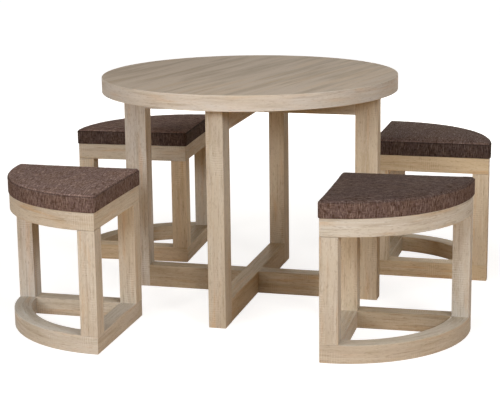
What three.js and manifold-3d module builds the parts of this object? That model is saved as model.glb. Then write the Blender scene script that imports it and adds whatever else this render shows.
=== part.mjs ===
// Round dining table with four quarter-round stools that tuck between its crossed frames.
// Millimetres, +Z up, origin on the floor at the centre of the table.

import * as THREE from 'three';
import { mergeVertices } from 'three/addons/utils/BufferGeometryUtils.js';
import Module from 'manifold-3d';

const wasm = await Module();
wasm.setup();

// Table top
const tableHeight = 755;
const topDiameter = 990;
const topThickness = 50;
const bandThickness = 2;
const bandRounding = 1;
const topSteps = 128;

// Crossed frames under the top, and how far their posts stand in from its rim
const frameSetback = 55;
const frameFaceWidth = 76;
const frameThickness = 56;
const frameRounding = 2;

// Dowels in the ends of the rails and legs
const dowelDiameter = 10;
const dowelReach = 25;
const dowelSideClearance = 0.3;
const dowelEndClearance = 1;
const dowelSteps = 8;
const railDowelPitch = 36;
const legDowelShare = 0.3;

// Screws up through the upper rails into the top
const screwLength = 70;
const screwShankDiameter = 7;
const screwHeadDiameter = 13;
const screwHeadHeight = 4;
const screwPointLength = 8;
const screwSocketDiameter = 5;
const screwSocketDepth = 2.5;
const screwClearance = 0.3;
const screwFromCentre = 250;
const screwCounterbore = 36;
const screwSteps = 12;

// Stool frame, its arc well inside the rim of the top when the stool is pushed in
const stoolRimClearance = 49;
const stoolArcCentre = 12;
const stoolFrameHeight = 438;
const stoolMember = 56;
const stoolRounding = 1.6;
const stoolCornerShare = 1.6;
const stoolArcSteps = 20;
const legArcSteps = 3;

// Seat board and cushion
const boardThickness = 12;
const boardCornerRadius = 7;
const cushionOverhang = 5;
const cushionEdgeHeight = 52;
const cushionEdgeRadius = 9;
const cushionCrown = 6;
const cushionHemShare = 0.8;
const cushionDrawInShare = 0.5;
const cushionLeastCornerShare = 0.2;
const cushionSideSteps = 8;
const cushionArcSteps = 16;
const cushionCornerSteps = 4;
const cushionRoundSteps = 3;
const cushionCrownSteps = 4;

// The gap that every joint keeps, and how far a cutter runs past what it cuts
const jointGap = 0.3;
const overrun = 5;

// How far each stool's square corner is drawn out from beside the crossed frames, as shares of
// its side, and how far the stool stands askew
const tuckClearance = 10;
const stoolPlaces = [
  { name: 'front_left_stool', quarterTurns: 2, outXShare: -0.586, outYShare: -0.795, askewDegrees: 0 },
  { name: 'back_left_stool', quarterTurns: 1, outXShare: -0.709, outYShare: 0.647, askewDegrees: 3 },
  { name: 'back_right_stool', quarterTurns: 0, outXShare: 0.806, outYShare: 0.606, askewDegrees: 0 },
  {
    name: 'front_right_stool', quarterTurns: 3, outXShare: 0.824, outYShare: -0.609,
    askewDegrees: 1.4,
  },
];

// Finishes
const oakTop = { color: 0xb5a28b, roughness: 0.5, metalness: 0 };
const oak = { color: 0xc6b296, roughness: 0.6, metalness: 0 };
const plywood = { color: 0xcfb48a, roughness: 0.8, metalness: 0 };
const wovenBrown = { color: 0x5d4c46, roughness: 0.95, metalness: 0 };
const zincSteel = { color: 0xb9bcc0, roughness: 0.35, metalness: 0.9 };

// Worked-out sizes
const undersideOfTop = tableHeight - topThickness;
const frameHalf = topDiameter / 2 - frameSetback;
const postInnerFace = frameHalf - frameFaceWidth;
const railHalf = postInnerFace - jointGap;
const upperRailBase = undersideOfTop - frameFaceWidth;
const screwSeat = upperRailBase + screwCounterbore;
const dowelRadius = dowelDiameter / 2;
const dowelHoleRadius = dowelRadius + dowelSideClearance;
const dowelHoleDepth = dowelReach + dowelEndClearance;
const besideFrames = frameThickness / 2 + tuckClearance;
const stoolSide = topDiameter / 2 - besideFrames - stoolRimClearance;
const arcRadius = Math.hypot(stoolSide - stoolArcCentre, stoolArcCentre);
const upperRingBase = stoolFrameHeight - stoolMember;
const legBottom = stoolMember + jointGap;
const legLength = upperRingBase - stoolMember - 2 * jointGap;
const seatBase = stoolFrameHeight + jointGap;
const cushionCornerRadius = boardCornerRadius + cushionOverhang;
const cushionHemRadius = cushionOverhang * cushionHemShare;
const cushionDrawIn = cushionOverhang * cushionDrawInShare;

// A closed geometry as a solid that can be joined and cut
function toSolid(geometry) {
  const bare = geometry.clone();
  bare.deleteAttribute('normal');
  bare.deleteAttribute('uv');
  const merged = mergeVertices(bare);
  const corners = merged.index.array;
  const kept = [];
  for (let i = 0; i < corners.length; i += 3) {
    const [a, b, c] = [corners[i], corners[i + 1], corners[i + 2]];
    if (a !== b && b !== c && c !== a) {
      kept.push(a, b, c);
    }
  }
  return new wasm.Manifold(new wasm.Mesh({
    numProp: 3,
    vertProperties: new Float32Array(merged.attributes.position.array),
    triVerts: new Uint32Array(kept),
  }));
}

// A solid back as a flat-shaded geometry
function toGeometry(solid) {
  const mesh = solid.getMesh();
  const geometry = new THREE.BufferGeometry();
  geometry.setAttribute('position', new THREE.BufferAttribute(mesh.vertProperties, 3));
  geometry.setIndex(new THREE.BufferAttribute(mesh.triVerts, 1));
  const flat = geometry.toNonIndexed();
  flat.computeVertexNormals();
  return flat;
}

// A solid with every cutter taken away
function cut(solid, cutters) {
  return cutters.reduce((rest, cutter) => rest.subtract(cutter), solid);
}

// A solid with every other solid joined on
function join(solid, others) {
  return others.reduce((whole, other) => whole.add(other), solid);
}

// An upright pin or hole from one height to another
function uprightPin(radius, x, y, bottom, top, steps) {
  const geometry = new THREE.CylinderGeometry(radius, radius, top - bottom, steps);
  geometry.rotateX(Math.PI / 2);
  geometry.translate(x, y, (bottom + top) / 2);
  return toSolid(geometry);
}

// A level pin or hole along Y, above the centre line of the floor
function levelPin(radius, z, from, to) {
  const geometry = new THREE.CylinderGeometry(radius, radius, to - from, dowelSteps);
  geometry.translate(0, (from + to) / 2, z);
  return toSolid(geometry);
}

// A closed outline whose chosen corners are rounded
function roundedShape(points, rounding, isRounded) {
  const shape = new THREE.Shape();
  points.forEach((point, i) => {
    const before = points[(i + points.length - 1) % points.length];
    const after = points[(i + 1) % points.length];
    const reach = isRounded(i) ? rounding : 0;
    const start = point.clone().add(before.clone().sub(point).setLength(reach));
    if (i === 0) {
      shape.moveTo(start.x, start.y);
    } else {
      shape.lineTo(start.x, start.y);
    }
    if (isRounded(i)) {
      const end = point.clone().add(after.clone().sub(point).setLength(reach));
      shape.quadraticCurveTo(point.x, point.y, end.x, end.y);
    }
  });
  shape.closePath();
  return shape;
}

// The corners of a rectangle, counter-clockwise from its lowest one
function rectangle(left, front, right, back) {
  return [
    new THREE.Vector2(left, front),
    new THREE.Vector2(right, front),
    new THREE.Vector2(right, back),
    new THREE.Vector2(left, back),
  ];
}

// The round board, with a blind pilot hole for each screw
function topBoard() {
  const radius = topDiameter / 2 - bandThickness - jointGap;
  const disc = uprightPin(radius, 0, 0, undersideOfTop, tableHeight, topSteps);
  const pilotEnd = screwSeat + screwLength + dowelEndClearance;
  const pilots = screwPlaces().map(({ x, y }) => uprightPin(
    screwShankDiameter / 2 + screwClearance, x, y, undersideOfTop - overrun, pilotEnd, screwSteps,
  ));
  return toGeometry(cut(disc, pilots));
}

// The band round the board's edge, its two outer arrises eased
function edgeBand() {
  const outer = topDiameter / 2;
  const inner = outer - bandThickness;
  const profile = [
    [inner, undersideOfTop],
    [outer - bandRounding, undersideOfTop],
    [outer, undersideOfTop + bandRounding],
    [outer, tableHeight - bandRounding],
    [outer - bandRounding, tableHeight],
    [inner, tableHeight],
    [inner, undersideOfTop],
  ].map(([radius, z]) => new THREE.Vector2(radius, z));
  const geometry = new THREE.LatheGeometry(profile, topSteps);
  geometry.rotateX(Math.PI / 2);
  return geometry;
}

// One screw on each arm of the upper rails
function screwPlaces() {
  return [
    { name: 'right', x: screwFromCentre, y: 0 },
    { name: 'back', x: 0, y: screwFromCentre },
    { name: 'left', x: -screwFromCentre, y: 0 },
    { name: 'front', x: 0, y: -screwFromCentre },
  ];
}

// A pan-head screw, point up in its counterbore, with a round drive socket
function topScrew({ x, y }) {
  const headTop = screwSeat - jointGap;
  const headBottom = headTop - screwHeadHeight;
  const tip = headTop + screwLength;
  const profile = [
    [0, headBottom + screwSocketDepth],
    [screwSocketDiameter / 2, headBottom + screwSocketDepth],
    [screwSocketDiameter / 2, headBottom],
    [screwHeadDiameter / 2, headBottom],
    [screwHeadDiameter / 2, headTop],
    [screwShankDiameter / 2, headTop],
    [screwShankDiameter / 2, tip - screwPointLength],
    [0, tip],
  ].map(([radius, z]) => new THREE.Vector2(radius, z));
  const geometry = new THREE.LatheGeometry(profile, screwSteps);
  geometry.rotateX(Math.PI / 2);
  geometry.translate(x, y, 0);
  return geometry;
}

// Heights of the two dowels at each end of a rail, from the rail's own lower face
function railDowelHeights(base) {
  const middle = base + frameFaceWidth / 2;
  return [middle - railDowelPitch / 2, middle + railDowelPitch / 2];
}

// The back post, bored for the dowels of the lower and the upper rail
function framePost() {
  const section = rectangle(-frameThickness / 2, postInnerFace, frameThickness / 2, frameHalf);
  const post = new THREE.ExtrudeGeometry(roundedShape(section, frameRounding, () => true), {
    depth: undersideOfTop - jointGap, bevelEnabled: false, curveSegments: 3,
  });
  const heights = [...railDowelHeights(0), ...railDowelHeights(upperRailBase)];
  const bores = heights.map((z) => levelPin(
    dowelHoleRadius, z, postInnerFace - overrun, postInnerFace + dowelHoleDepth,
  ));
  return cut(toSolid(post), bores);
}

// The lap cut out of a rail where it crosses its twin, from above or from below
function lapCutter(base, fromAbove) {
  const half = frameThickness / 2 + jointGap;
  const middle = base + frameFaceWidth / 2;
  const bottom = fromAbove ? middle - jointGap / 2 : base - overrun;
  const top = fromAbove ? base + frameFaceWidth + overrun : middle + jointGap / 2;
  const box = new THREE.BoxGeometry(frameThickness + 2 * overrun, 2 * half, top - bottom);
  box.translate(0, 0, (bottom + top) / 2);
  return toSolid(box);
}

// A rail along Y between two heights, with dowels in its ends and its lap cut out
function frameRail(base, top, lapFromAbove) {
  const section = rectangle(-frameThickness / 2, base, frameThickness / 2, top);
  const rail = new THREE.ExtrudeGeometry(roundedShape(section, frameRounding, () => true), {
    depth: 2 * railHalf, bevelEnabled: false, curveSegments: 3,
  });
  rail.rotateX(Math.PI / 2);
  rail.translate(0, railHalf, 0);
  const end = railHalf + dowelReach;
  const dowels = railDowelHeights(base).map((z) => levelPin(dowelRadius, z, -end, end));
  return cut(join(toSolid(rail), dowels), [lapCutter(base, lapFromAbove)]);
}

// An upper rail is also bored and counterbored for its two screws
function upperRail(lapFromAbove) {
  const bores = [-screwFromCentre, screwFromCentre].flatMap((y) => [
    uprightPin(
      screwHeadDiameter / 2 + screwClearance, 0, y,
      upperRailBase - overrun, screwSeat, screwSteps,
    ),
    uprightPin(
      screwShankDiameter / 2 + screwClearance, 0, y,
      upperRailBase, undersideOfTop + overrun, screwSteps,
    ),
  ]);
  return cut(frameRail(upperRailBase, undersideOfTop - jointGap, lapFromAbove), bores);
}

// The angle at which an arc of this radius is this far from the straight side under it
function arcAngle(radius, fromSide) {
  return Math.asin((fromSide - stoolArcCentre) / radius);
}

// Points along an arc about the stool's arc centre
function arcBetween(radius, start, end, steps) {
  return Array.from({ length: steps + 1 }, (_, i) => {
    const angle = start + (end - start) * i / steps;
    return new THREE.Vector2(
      stoolArcCentre + radius * Math.cos(angle),
      stoolArcCentre + radius * Math.sin(angle),
    );
  });
}

// The quarter-round outline of the stool, drawn in by an inset, from its square corner
function quarterOutline(inset, steps) {
  const radius = arcRadius - inset;
  const start = arcAngle(radius, inset);
  return [new THREE.Vector2(inset, inset), ...arcBetween(radius, start, Math.PI / 2 - start, steps)];
}

// The three points where the straight sides and the arc of such an outline meet
function isQuarterCorner(outline) {
  return (i) => i <= 1 || i === outline.length - 1;
}

// A whole quarter-round ring on the floor, its arrises eased, before it is mitred
function ringBlank() {
  const outline = quarterOutline(0, stoolArcSteps);
  const rounding = stoolRounding * stoolCornerShare;
  const shape = roundedShape(outline, rounding, isQuarterCorner(outline));
  shape.holes.push(new THREE.Path(quarterOutline(stoolMember, stoolArcSteps).reverse()));
  const geometry = new THREE.ExtrudeGeometry(shape, {
    depth: stoolMember - 2 * stoolRounding,
    bevelThickness: stoolRounding,
    bevelSize: stoolRounding,
    bevelOffset: -stoolRounding,
    bevelSegments: 1,
    curveSegments: 2,
  });
  geometry.translate(0, 0, stoolRounding);
  return toSolid(geometry);
}

// Each mitre as a line across the ring, run on past both its ends
function mitreLine(outer, inner) {
  const run = inner.clone().sub(outer).setLength(overrun);
  return { outer: outer.clone().sub(run), inner: inner.clone().add(run) };
}

// The mitres in the square corner and at the left and right ends of the arc
function mitres() {
  const outside = quarterOutline(0, 1);
  const inside = quarterOutline(stoolMember, 1);
  const [corner, left, right] = outside.map((point, i) => mitreLine(point, inside[i]));
  return { corner, left, right };
}

// The thin slab of wood that a mitre's saw takes away
function sawCut({ outer, inner }) {
  const span = inner.clone().sub(outer);
  const geometry = new THREE.BoxGeometry(span.length(), jointGap, stoolMember + 2 * overrun);
  geometry.rotateZ(span.angle());
  geometry.translate((outer.x + inner.x) / 2, (outer.y + inner.y) / 2, stoolMember / 2);
  return toSolid(geometry);
}

// What a ring has inside a polygon whose edges follow its mitres
function ringPiece(ring, corners) {
  const prism = new THREE.ExtrudeGeometry(new THREE.Shape(corners), {
    depth: stoolMember + 2 * overrun, bevelEnabled: false,
  });
  prism.translate(0, 0, -overrun);
  return ring.intersect(toSolid(prism));
}

// The left, right and curved rails of one ring
function ringRails() {
  const { corner, left, right } = mitres();
  const ring = cut(ringBlank(), [corner, left, right].map(sawCut));
  const beyond = new THREE.Vector2(stoolSide, stoolSide);
  return {
    left_rail: ringPiece(ring, [corner.outer, left.outer, left.inner, corner.inner]),
    right_rail: ringPiece(ring, [corner.outer, corner.inner, right.inner, right.outer]),
    curved_rail: ringPiece(ring, [left.outer, beyond, right.outer, right.inner, left.inner]),
  };
}

// The three legs in plan, each with a dowel on either side of the mitre that it stands over
function legPlans() {
  const near = stoolMember * legDowelShare;
  const far = stoolMember - near;
  const end = stoolSide - stoolMember;
  const arc = arcBetween(
    arcRadius, arcAngle(arcRadius, 0), arcAngle(arcRadius, stoolMember), legArcSteps,
  );
  const left = [new THREE.Vector2(end, 0), ...arc, new THREE.Vector2(end, stoolMember)];
  const right = left.map(({ x, y }) => new THREE.Vector2(y, x)).reverse();
  return {
    inner_leg: {
      outline: rectangle(0, 0, stoolMember, stoolMember),
      dowels: [[near, far], [far, near]],
    },
    left_leg: {
      outline: left,
      dowels: [[end + near, near], [end + far, far]],
    },
    right_leg: {
      outline: right,
      dowels: [[near, end + near], [far, end + far]],
    },
  };
}

// A leg between the two rings, with the dowels that stand out of both its ends
function stoolLeg({ outline, dowels }) {
  const isEnd = (i) => i <= 1 || i >= outline.length - 2;
  const shape = roundedShape(outline, stoolRounding, isEnd);
  const geometry = new THREE.ExtrudeGeometry(shape, {
    depth: legLength, bevelEnabled: false, curveSegments: 2,
  });
  geometry.translate(0, 0, legBottom);
  const pins = dowels.map(([x, y]) => uprightPin(
    dowelRadius, x, y, legBottom - dowelReach, legBottom + legLength + dowelReach, dowelSteps,
  ));
  return join(toSolid(geometry), pins);
}

// Bores for all the leg dowels, between two heights
function dowelBores(bottom, top) {
  const places = Object.values(legPlans()).flatMap(({ dowels }) => dowels);
  return places.map(([x, y]) => uprightPin(dowelHoleRadius, x, y, bottom, top, dowelSteps));
}

// The quarter-round board that carries the cushion
function seatBoard() {
  const outline = quarterOutline(0, cushionArcSteps);
  const shape = roundedShape(outline, boardCornerRadius, isQuarterCorner(outline));
  const geometry = new THREE.ExtrudeGeometry(shape, {
    depth: boardThickness, bevelEnabled: false, curveSegments: cushionCornerSteps,
  });
  geometry.translate(0, 0, seatBase);
  return geometry;
}

// The points round one corner of a cushion
function cornerPoints(corner, before, after, radius) {
  const from = corner.clone().add(before.clone().sub(corner).setLength(radius));
  const to = corner.clone().add(after.clone().sub(corner).setLength(radius));
  return new THREE.QuadraticBezierCurve(from, corner, to).getPoints(cushionCornerSteps);
}

// The points between two corners of a cushion, where the fabric pulls the side in
function sidePoints(from, to, drawIn) {
  const inward = new THREE.Vector2(from.y - to.y, to.x - from.x).setLength(drawIn);
  return Array.from({ length: cushionSideSteps - 1 }, (_, i) => {
    const share = (i + 1) / cushionSideSteps;
    const pull = Math.sin(Math.PI * share) ** 2;
    return from.clone().lerp(to, share).addScaledVector(inward, pull);
  });
}

// A level ring of points round a cushion, at an inset from its edge
function cushionRing(inset, height, drawIn) {
  const least = cushionCornerRadius * cushionLeastCornerShare;
  const radius = Math.max(cushionCornerRadius - inset, least);
  const [corner, left, ...rest] = quarterOutline(inset - cushionOverhang, cushionArcSteps);
  const right = rest[rest.length - 1];
  const arc = rest.slice(0, -1);
  return [
    ...cornerPoints(corner, right, left, radius),
    ...sidePoints(corner, left, drawIn),
    ...cornerPoints(left, corner, arc[0], radius),
    ...arc,
    ...cornerPoints(right, arc[arc.length - 1], corner, radius),
    ...sidePoints(right, corner, drawIn),
  ].map(({ x, y }) => new THREE.Vector3(x, y, height));
}

// A closed body through rings of equal count, from a first centre point to a last one
function loft(first, rings, last) {
  const count = rings[0].length;
  const places = [first, ...rings.flat(), last];
  const faces = [];
  for (let i = 0; i < count; i += 1) {
    const next = (i + 1) % count;
    faces.push(0, 1 + next, 1 + i);
    for (let k = 0; k + 1 < rings.length; k += 1) {
      const here = 1 + k * count;
      const above = here + count;
      faces.push(here + i, here + next, above + next);
      faces.push(here + i, above + next, above + i);
    }
    const rim = 1 + (rings.length - 1) * count;
    faces.push(rim + i, rim + next, places.length - 1);
  }
  const geometry = new THREE.BufferGeometry().setFromPoints(places);
  geometry.setIndex(faces);
  geometry.computeVertexNormals();
  return geometry;
}

// The crowned cushion, its cover drawn down round the seat board
function cushion() {
  const pocketTop = seatBase + boardThickness + jointGap;
  const shoulder = seatBase + cushionEdgeHeight - cushionEdgeRadius;
  const pocket = [pocketTop, seatBase].map((z) => cushionRing(cushionOverhang - jointGap, z, 0));
  const hem = [0, Math.PI / 4, Math.PI / 2].map((angle) => cushionRing(
    cushionHemRadius * (1 - Math.sin(angle)),
    seatBase + cushionHemRadius * (1 - Math.cos(angle)),
    cushionDrawIn * Math.sin(angle),
  ));
  const edge = Array.from({ length: cushionRoundSteps + 1 }, (_, i) => {
    const angle = Math.PI / 2 * i / cushionRoundSteps;
    return cushionRing(
      cushionEdgeRadius * (1 - Math.cos(angle)),
      shoulder + cushionEdgeRadius * Math.sin(angle),
      cushionDrawIn * Math.cos(angle),
    );
  });
  const middle = (arcRadius + Math.SQRT2 * stoolArcCentre) / (1 + Math.SQRT2);
  const centre = new THREE.Vector3(middle, middle, shoulder + cushionEdgeRadius);
  const rim = edge[edge.length - 1];
  const crown = Array.from({ length: cushionCrownSteps - 1 }, (_, i) => {
    const share = (i + 1) / cushionCrownSteps;
    const rise = cushionCrown * (1 - (1 - share) ** 2);
    return rim.map((point) => point.clone().lerp(centre, share).setZ(centre.z + rise));
  });
  const peak = centre.clone().setZ(centre.z + cushionCrown);
  const ceiling = centre.clone().setZ(pocketTop);
  return loft(ceiling, [...pocket, ...hem, ...edge, ...crown], peak);
}

// A named mesh with its own material
function namedMesh(name, geometry, finish, quarterTurns = 0) {
  const mesh = new THREE.Mesh(geometry, new THREE.MeshStandardMaterial(finish));
  mesh.name = name;
  mesh.rotation.z = quarterTurns * Math.PI / 2;
  return mesh;
}

// The band-edged top on its two crossed frames
function table() {
  const post = toGeometry(framePost());
  const posts = ['back', 'left', 'front', 'right'].map((side, turns) => (
    namedMesh(`table_${side}_post`, post.clone(), oak, turns)
  ));
  const screws = screwPlaces().map((place) => (
    namedMesh(`table_top_screw_${place.name}`, topScrew(place), zincSteel)
  ));
  const lowerRail = (lapFromAbove) => toGeometry(frameRail(0, frameFaceWidth, lapFromAbove));
  const group = new THREE.Group();
  group.add(
    namedMesh('table_top_board', topBoard(), oakTop),
    namedMesh('table_edge_band', edgeBand(), oak),
    ...posts,
    namedMesh('table_lower_rail_front_to_back', lowerRail(false), oak, 0),
    namedMesh('table_lower_rail_left_to_right', lowerRail(true), oak, 1),
    namedMesh('table_upper_rail_front_to_back', toGeometry(upperRail(false)), oak, 0),
    namedMesh('table_upper_rail_left_to_right', toGeometry(upperRail(true)), oak, 1),
    ...screws,
  );
  return group;
}

// Every piece of a stool, its square corner at the origin, from the floor up
function stoolPieces() {
  const rails = Object.entries(ringRails());
  const lowerBores = dowelBores(stoolMember - dowelHoleDepth, stoolMember + overrun);
  const upperBores = dowelBores(-overrun, dowelHoleDepth);
  const lower = rails.map(([name, rail]) => [`lower_${name}`, toGeometry(cut(rail, lowerBores)), oak]);
  const upper = rails.map(([name, rail]) => {
    const geometry = toGeometry(cut(rail, upperBores));
    geometry.translate(0, 0, upperRingBase);
    return [`upper_${name}`, geometry, oak];
  });
  const legs = Object.entries(legPlans()).map(([name, plan]) => (
    [name, toGeometry(stoolLeg(plan)), oak]
  ));
  const seat = [
    ['seat_board', seatBoard(), plywood],
    ['seat_cushion', cushion(), wovenBrown],
  ];
  return [...lower, ...legs, ...upper, ...seat];
}

// How far a stool's square corner lies from the table's centre line along one axis
function cornerPlace(outShare) {
  return Math.sign(outShare) * besideFrames + outShare * stoolSide;
}

// A stool with its square corner towards the table, drawn out by its own distance
function stool(pieces, { name, quarterTurns, outXShare, outYShare, askewDegrees }) {
  const group = new THREE.Group();
  group.position.set(cornerPlace(outXShare), cornerPlace(outYShare), 0);
  group.rotation.z = quarterTurns * Math.PI / 2 + THREE.MathUtils.degToRad(askewDegrees);
  pieces.forEach(([piece, geometry, finish]) => {
    group.add(namedMesh(`${name}_${piece}`, geometry.clone(), finish));
  });
  return group;
}

const pieces = stoolPieces();
const diningSet = new THREE.Group();
diningSet.add(table(), ...stoolPlaces.map((place) => stool(pieces, place)));

export default diningSet;
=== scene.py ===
"""Looks of the round dining table and its four tuck-under stools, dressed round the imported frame.

Metres, +Z up, origin on the floor at the centre of the table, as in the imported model.
"""

from __future__ import annotations

import logging
import math
from dataclasses import dataclass, field
from enum import Enum
from typing import Any

import bpy
import numpy as np
from mathutils import Matrix, Vector
from mathutils.geometry import delaunay_2d_cdt


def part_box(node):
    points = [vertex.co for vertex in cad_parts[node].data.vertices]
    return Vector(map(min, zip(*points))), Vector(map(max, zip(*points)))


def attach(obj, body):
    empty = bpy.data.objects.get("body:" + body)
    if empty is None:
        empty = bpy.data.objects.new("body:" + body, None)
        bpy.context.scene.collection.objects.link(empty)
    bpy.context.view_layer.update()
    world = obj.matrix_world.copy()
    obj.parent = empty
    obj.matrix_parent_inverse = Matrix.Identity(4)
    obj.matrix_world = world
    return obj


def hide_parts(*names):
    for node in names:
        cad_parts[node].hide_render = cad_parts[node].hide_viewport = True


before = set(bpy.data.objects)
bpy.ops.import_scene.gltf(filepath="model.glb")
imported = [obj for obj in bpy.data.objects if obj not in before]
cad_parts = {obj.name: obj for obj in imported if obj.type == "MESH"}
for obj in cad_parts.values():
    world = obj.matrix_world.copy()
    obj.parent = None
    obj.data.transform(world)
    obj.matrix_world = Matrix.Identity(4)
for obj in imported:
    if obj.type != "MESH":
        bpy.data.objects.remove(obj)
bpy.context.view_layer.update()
LOG = logging.getLogger("dining_set")

MM = 0.001
RANDOM_SEED = 20

# The stools' straight sides, and how far the centre of their arc lies off the square corner
STOOL_SIDE = 408 * MM
STOOL_ARC_CENTRE = 12 * MM
# The attribute that tells the cloth where its threads run
THREADS = "thread_run"

Socket = bpy.types.NodeSocket
Tree = bpy.types.NodeTree
Triple = tuple[float, float, float]
Face = tuple[int, ...]


def linear(colour: str) -> tuple[float, float, float, float]:
    """Turns an sRGB colour into the linear one that the shaders take.

    Args:
        colour: six hex digits after a hash sign.

    Returns:
        Linear red, green, blue and an alpha of one.
    """
    shares = [int(colour[at:at + 2], 16) / 255 for at in (1, 3, 5)]
    turned = [s / 12.92 if s <= 0.04045 else ((s + 0.055) / 1.055) ** 2.4 for s in shares]
    return (turned[0], turned[1], turned[2], 1.0)


def feed(tree: Tree, node: bpy.types.Node, inputs: dict[int | str, Any]) -> None:
    """Sets each input of a node to its value, or links it to the socket that feeds it.

    Args:
        tree: the node tree that holds the node.
        node: the node.
        inputs: the values and sockets, by the input's name or number.
    """
    for name, value in inputs.items():
        if isinstance(value, Socket):
            tree.links.new(value, node.inputs[name])
        else:
            node.inputs[name].default_value = value


def add_node(
    tree: Tree,
    kind: str,
    inputs: dict[int | str, Any] | None = None,
    out: int | str = 0,
    **settings: Any,
) -> Socket:
    """Adds one node with its settings and its inputs.

    Args:
        tree: the node tree that gets the node.
        kind: the node's type name.
        inputs: what each input is set to, or the socket that feeds it.
        out: which output to give back.
        settings: the node's own settings, by name.

    Returns:
        The chosen output socket.
    """
    node = tree.nodes.new(kind)
    for name, value in settings.items():
        setattr(node, name, value)
    feed(tree, node, inputs or {})
    return node.outputs[out]


def calc(tree: Tree, operation: str, *terms: Any) -> Socket:
    """Adds one sum on numbers, each a number or the socket that feeds it."""
    return add_node(tree, "ShaderNodeMath", dict(enumerate(terms)), operation=operation)


def vector_calc(tree: Tree, operation: str, *terms: Any, out: int | str = 0) -> Socket:
    """Adds one sum on vectors, each a vector or the socket that feeds it."""
    return add_node(tree, "ShaderNodeVectorMath", dict(enumerate(terms)), out, operation=operation)


def split(tree: Tree, vector: Socket) -> list[Socket]:
    """Splits a vector into its three parts."""
    return list(add_node(tree, "ShaderNodeSeparateXYZ", {0: vector}).node.outputs)


def noise(
    tree: Tree, place: Socket, scale: float, detail: float, rough: float = 0.5, bend: float = 0.0
) -> Socket:
    """Adds smooth noise between nothing and one.

    Args:
        tree: the node tree that gets the node.
        place: where in the noise each point lies.
        scale: how many lumps there are to a unit of place.
        detail: how many finer sizes of lump are added.
        rough: how strong the finer sizes are.
        bend: how far the lumps are bent out of shape.

    Returns:
        The noise.
    """
    return add_node(tree, "ShaderNodeTexNoise", {
        "Vector": place, "Scale": scale, "Detail": detail, "Roughness": rough, "Distortion": bend,
    })


def fade(
    tree: Tree, value: Socket, start: float, full: float, low: float = 0.0, high: float = 1.0,
    kind: str = "LINEAR",
) -> Socket:
    """Turns a value between two ends into one between two others.

    Args:
        tree: the node tree that gets the node.
        value: the value.
        start: where it begins to count.
        full: where it counts in full.
        low: what comes out at the start.
        high: what comes out in full.
        kind: how it runs between them.

    Returns:
        What comes out, never past its two ends.
    """
    return add_node(
        tree, "ShaderNodeMapRange",
        {"Value": value, "From Min": start, "From Max": full, "To Min": low, "To Max": high},
        interpolation_type=kind,
    )


def mix(tree: Tree, share: Socket, colour: Any, other: str) -> Socket:
    """Mixes another sRGB colour into the colour so far, by a share."""
    return add_node(
        tree, "ShaderNodeMix", {0: share, 6: colour, 7: linear(other)}, 2, data_type="RGBA"
    )


def new_mesh_object(name: str, points: np.ndarray, faces: list[Face]) -> bpy.types.Object:
    """Makes a mesh object from points and faces and puts it in the scene.

    Args:
        name: the object's name.
        points: corner places in metres, one row each.
        faces: corner numbers of each face.

    Returns:
        The new object.
    """
    mesh = bpy.data.meshes.new(name)
    mesh.from_pydata([tuple(p) for p in points], [], faces)
    mesh.validate()
    made = bpy.data.objects.new(name, mesh)
    bpy.context.scene.collection.objects.link(made)
    return made


class Pattern(Enum):
    """How far apart the noise of two marks lies, how rough it is and how far it is bent."""

    GRAIN = (7.3, 0.55, 0.15)
    CLOTH = (5.1, 0.5, 0.0)


@dataclass(frozen=True)
class Mark:
    """One size of mark in a surface, with its width across and its length along the run."""

    colour: str
    width: float
    length: float
    detail: float
    start: float
    full: float
    strength: float
    relief: float = 0.0


@dataclass
class Surface:
    """A finish in the making: its material, and its colour and height in metres so far."""

    name: str
    base: str
    height: Any = 0.0

    def __post_init__(self) -> None:
        """Starts the material in its plain base colour."""
        self.made = bpy.data.materials.new(self.name)
        self.made.use_nodes = True
        self.tree: Tree = self.made.node_tree
        self.colour: Any = linear(self.base)

    def tint(self, share: Socket, colour: str) -> None:
        """Lays a colour over what there is, by a share."""
        self.colour = mix(self.tree, share, self.colour, colour)

    def lift(self, share: Socket, relief: float) -> None:
        """Raises the surface by a share of a relief in metres."""
        self.height = calc(self.tree, "MULTIPLY_ADD", share, relief, self.height)

    def mark(
        self, marks: tuple[Mark, ...], pattern: Pattern, place: Socket, contrast: float = 1.0
    ) -> None:
        """Lays every size of mark, each from another part of the noise.

        Args:
            marks: the marks, the lowest first.
            pattern: what they lie in.
            place: across, depth and along in metres, or for cloth across and along.
            contrast: how strongly all of them show.
        """
        step, rough, bend = pattern.value
        for number, mark in enumerate(marks):
            across, along = 1 / mark.width, 1 / mark.length
            sizes = (across, along, 1.0) if pattern is Pattern.CLOTH else (across, across, along)
            moved = vector_calc(self.tree, "MULTIPLY_ADD", place, sizes, (step * number,) * 3)
            lumps = noise(self.tree, moved, 1.0, mark.detail, rough, bend)
            full = mark.strength * contrast
            share = fade(self.tree, lumps, mark.start, mark.full, 0.0, full, "SMOOTHSTEP")
            self.tint(share, mark.colour)
            self.lift(share, mark.relief)

    def finish(
        self, inputs: dict[int | str, Any], strength: float = 1.0, distance: float = 1.0
    ) -> bpy.types.Material:
        """Hands the colour, the relief and the other inputs to the shader.

        Args:
            inputs: what else the shader is given.
            strength: how strongly the relief shows.
            distance: how far a height of one stands out, in metres.

        Returns:
            The finished material.
        """
        bump = add_node(
            self.tree, "ShaderNodeBump",
            {"Strength": strength, "Distance": distance, "Height": self.height},
        )
        feed(self.tree, self.tree.nodes["Principled BSDF"], {
            "Base Color": self.colour, "Normal": bump, **inputs,
        })
        return self.made


class GrainRun(Enum):
    """Which way the grain runs: the numbers of the axes across, through and along it."""

    ALONG_X = (1, 2, 0)
    ALONG_Y = (0, 2, 1)
    ALONG_Z = (0, 1, 2)
    ROUND_ARC = ()


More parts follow.
